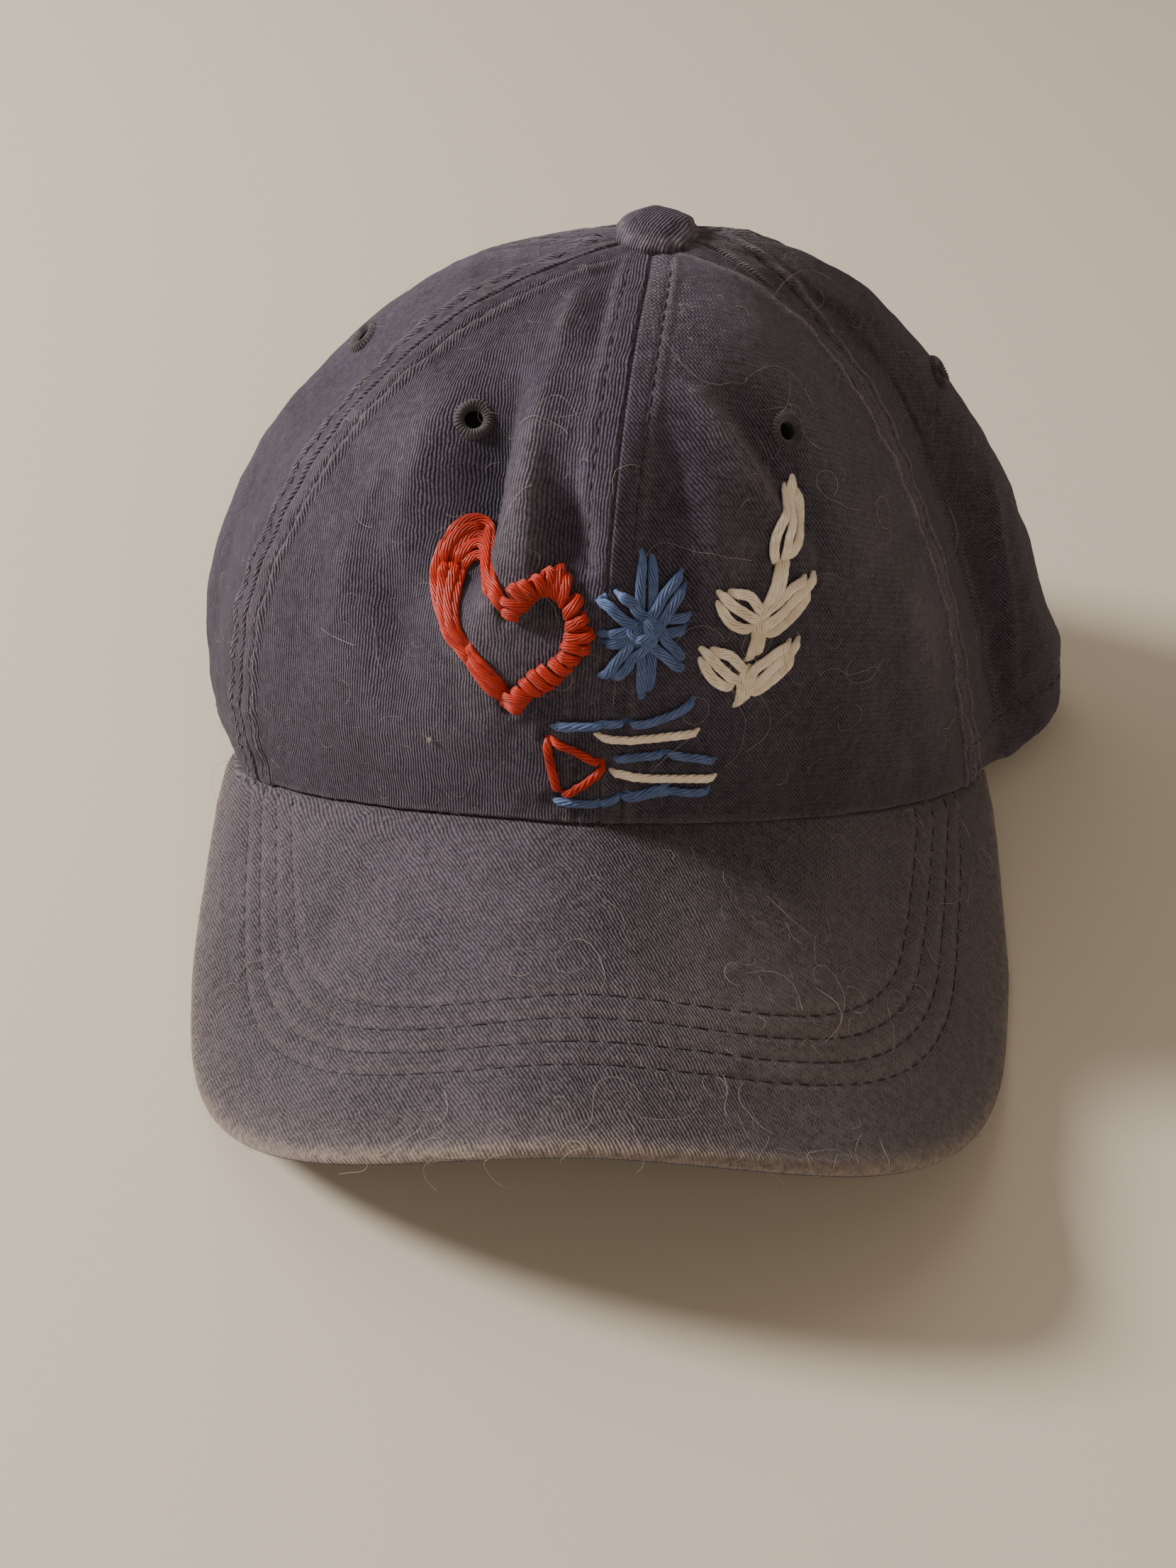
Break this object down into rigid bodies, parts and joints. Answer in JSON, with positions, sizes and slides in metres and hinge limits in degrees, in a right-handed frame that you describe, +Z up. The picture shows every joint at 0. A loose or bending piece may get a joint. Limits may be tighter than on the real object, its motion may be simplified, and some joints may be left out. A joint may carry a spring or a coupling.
{
  "type": "embroidered cap",
  "caption": "Soft panelled cap with a strongly arched brim, cloth button, stitched eyelets and a strapped half-moon opening at the back.",
  "frame": {"origin": "on the surface the cap stands on, under the middle of its bounding box", "axes": "+Z up, -Y towards the front edge of the brim, +X to the right as the front is looked at"},
  "size_m": [0.1992, 0.2318, 0.1417],
  "materials": {
    "washed_twill": "washed indigo cotton twill, mottled and paler at the seams",
    "brim_twill": "washed indigo cotton twill over a stiff board, worn pale at the edge",
    "eyelet_thread": "indigo stitching thread",
    "buckle_metal": "plain dull metal"
  },
  "bodies": {
    "root": {"front_panel_right": "washed_twill", "front_panel_left": "washed_twill", "side_panel_right": "washed_twill", "side_panel_left": "washed_twill", "back_panel_right": "washed_twill", "back_panel_left": "washed_twill", "brim": "brim_twill", "top_button": "washed_twill", "eyelet_front_left": "eyelet_thread", "eyelet_front_right": "eyelet_thread", "eyelet_side_left": "eyelet_thread", "eyelet_side_right": "eyelet_thread", "eyelet_back_left": "eyelet_thread", "eyelet_back_right": "eyelet_thread", "rear_strap": "washed_twill", "strap_buckle": "buckle_metal"}
  },
  "joints": []
}
